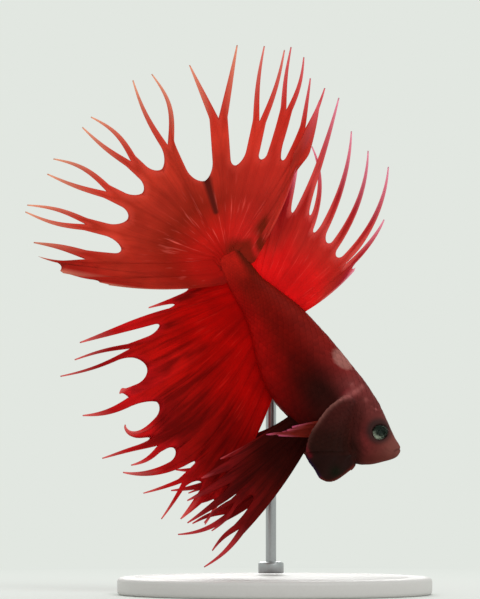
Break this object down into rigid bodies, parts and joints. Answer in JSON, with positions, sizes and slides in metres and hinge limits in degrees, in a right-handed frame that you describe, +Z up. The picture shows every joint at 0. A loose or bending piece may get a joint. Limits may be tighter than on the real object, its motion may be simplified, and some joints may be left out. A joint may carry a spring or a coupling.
{
  "type": "betta fish display model",
  "caption": "Life-size still model of a flaring red crowntail betta fish, nose down with spread spiky fins, held on a round display stand by one bent rod.",
  "frame": {"origin": "centre of the stand base's underside", "axes": "+Z up; the fish's snout points to +X and down, its tail to -X and up; its right flank faces -Y"},
  "size_m": [0.0698, 0.054, 0.0941],
  "materials": {
    "skin": "painted resin cast: dark red-brown scaled skin, near black on the breast, wet satin sheen",
    "gill_membrane": "near-black maroon membrane, soft sheen",
    "fin_membrane": "thin translucent red membrane over fine rays, paler pink at the spikes",
    "eye": "polished dark green-black eye with a clear shine",
    "stand_paint": "satin pale grey paint",
    "stand_steel": "satin brushed steel"
  },
  "bodies": {
    "root": {"head": "skin", "lower_jaw": "skin", "trunk": "skin", "tail_stalk": "skin", "gill_cover_right": "skin", "gill_cover_left": "skin", "gill_membrane_right": "gill_membrane", "gill_membrane_left": "gill_membrane", "tail_fin": "fin_membrane", "dorsal_fin": "fin_membrane", "anal_fin": "fin_membrane", "pelvic_fin_right": "fin_membrane", "pelvic_fin_left": "fin_membrane", "pectoral_fin_right": "fin_membrane", "pectoral_fin_left": "fin_membrane", "eye_right": "eye", "eye_left": "eye", "stand_base": "stand_paint", "stand_collar": "stand_steel", "stand_rod": "stand_steel", "stand_pad": "stand_steel"}
  },
  "joints": []
}
